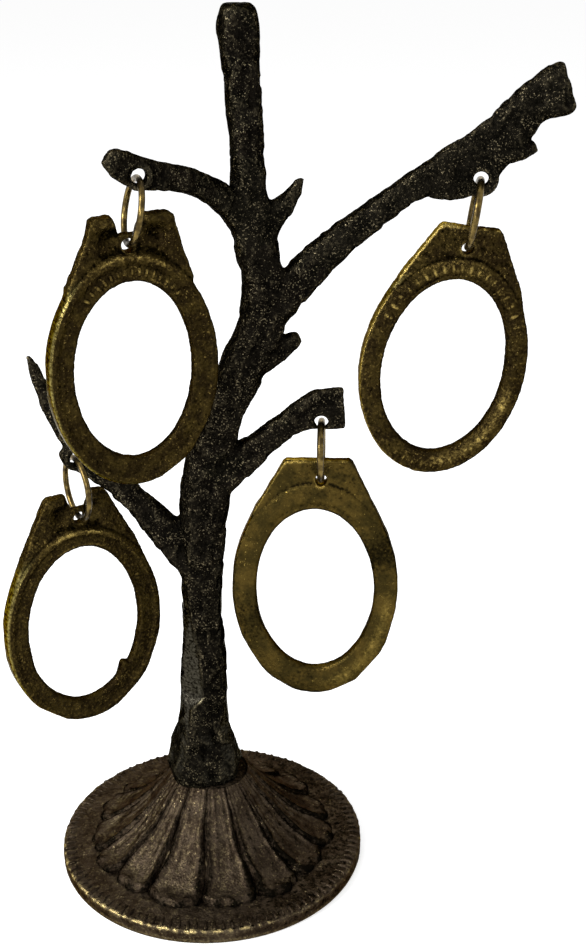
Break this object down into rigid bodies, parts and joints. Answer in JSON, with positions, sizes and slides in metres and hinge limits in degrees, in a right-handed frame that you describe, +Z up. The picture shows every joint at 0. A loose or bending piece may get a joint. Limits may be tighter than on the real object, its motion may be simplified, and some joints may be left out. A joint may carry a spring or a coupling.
{
  "type": "photo tree stand",
  "caption": "Cast metal tree on a petalled bell foot, with oval picture frames that hang on split rings from drilled lugs at the ends of its branches.",
  "frame": {"origin": "centre of the foot's underside, on the table", "axes": "+Z up, -Y towards the viewer, +X to the viewer's right"},
  "size_m": [0.1179, 0.07, 0.1919],
  "materials": {
    "foot_bronze": "dark brown patina, rubbed to brass on the ridges, satin",
    "tree_bronze": "near-black patina on a rough sand-cast skin, satin",
    "screw_steel": "zinc plated",
    "ring_brass": "antiqued drawn wire, satin",
    "frame_bronze": "olive-brown antique patina with rubbed golden edges, satin"
  },
  "bodies": {
    "stand": {"base_foot": "foot_bronze", "tree_casting": "tree_bronze", "base_screw": "screw_steel", "screw_washer": "screw_steel"},
    "ring_upper_left": {"ring_upper_left": "ring_brass"},
    "ring_upper_right": {"ring_upper_right": "ring_brass"},
    "ring_lower_left": {"ring_lower_left": "ring_brass"},
    "ring_lower_right": {"ring_lower_right": "ring_brass"},
    "frame_upper_left": {"frame_upper_left": "frame_bronze"},
    "frame_upper_right": {"frame_upper_right": "frame_bronze"},
    "frame_lower_left": {"frame_lower_left": "frame_bronze"},
    "frame_lower_right": {"frame_lower_right": "frame_bronze"}
  },
  "joints": [
    {"name": "ring_upper_left_swing", "type": "hinge", "parent": "stand", "child": "ring_upper_left", "pos_m": [-0.0088, -0.017, 0.16275], "axis": [-0.309, 0.9511, 0], "range_deg": [-5, 25]},
    {"name": "frame_upper_left_swing", "type": "hinge", "parent": "ring_upper_left", "child": "frame_upper_left", "pos_m": [-0.01003, -0.0174, 0.15668], "axis": [0.9303, 0.3023, -0.2079], "range_deg": [-30, 6]},
    {"name": "ring_upper_right_swing", "type": "hinge", "parent": "stand", "child": "ring_upper_right", "pos_m": [0.0567, 0, 0.15825], "axis": [0.0872, 0.9962, 0], "range_deg": [-25, 3]},
    {"name": "frame_upper_right_swing", "type": "hinge", "parent": "ring_upper_right", "child": "frame_upper_right", "pos_m": [0.05566, 0.00009, 0.15163], "axis": [0.9839, -0.0861, -0.1564], "range_deg": [-30, 30]},
    {"name": "ring_lower_left_swing", "type": "hinge", "parent": "stand", "child": "ring_lower_left", "pos_m": [-0.0266, 0, 0.09945], "axis": [-0.4848, 0.8746, 0], "range_deg": [-2, 25]},
    {"name": "frame_lower_left_swing", "type": "hinge", "parent": "ring_lower_left", "child": "frame_lower_left", "pos_m": [-0.0266, 0, 0.09275], "axis": [0.8746, 0.4848, 0], "range_deg": [-8, 30]},
    {"name": "ring_lower_right_swing", "type": "hinge", "parent": "stand", "child": "ring_lower_right", "pos_m": [0.0255, 0, 0.10735], "axis": [0.0523, 0.9986, 0], "range_deg": [-12, 2]},
    {"name": "frame_lower_right_swing", "type": "hinge", "parent": "ring_lower_right", "child": "frame_lower_right", "pos_m": [0.0255, 0, 0.10115], "axis": [0.9986, -0.0523, 0], "range_deg": [-30, 30]}
  ]
}
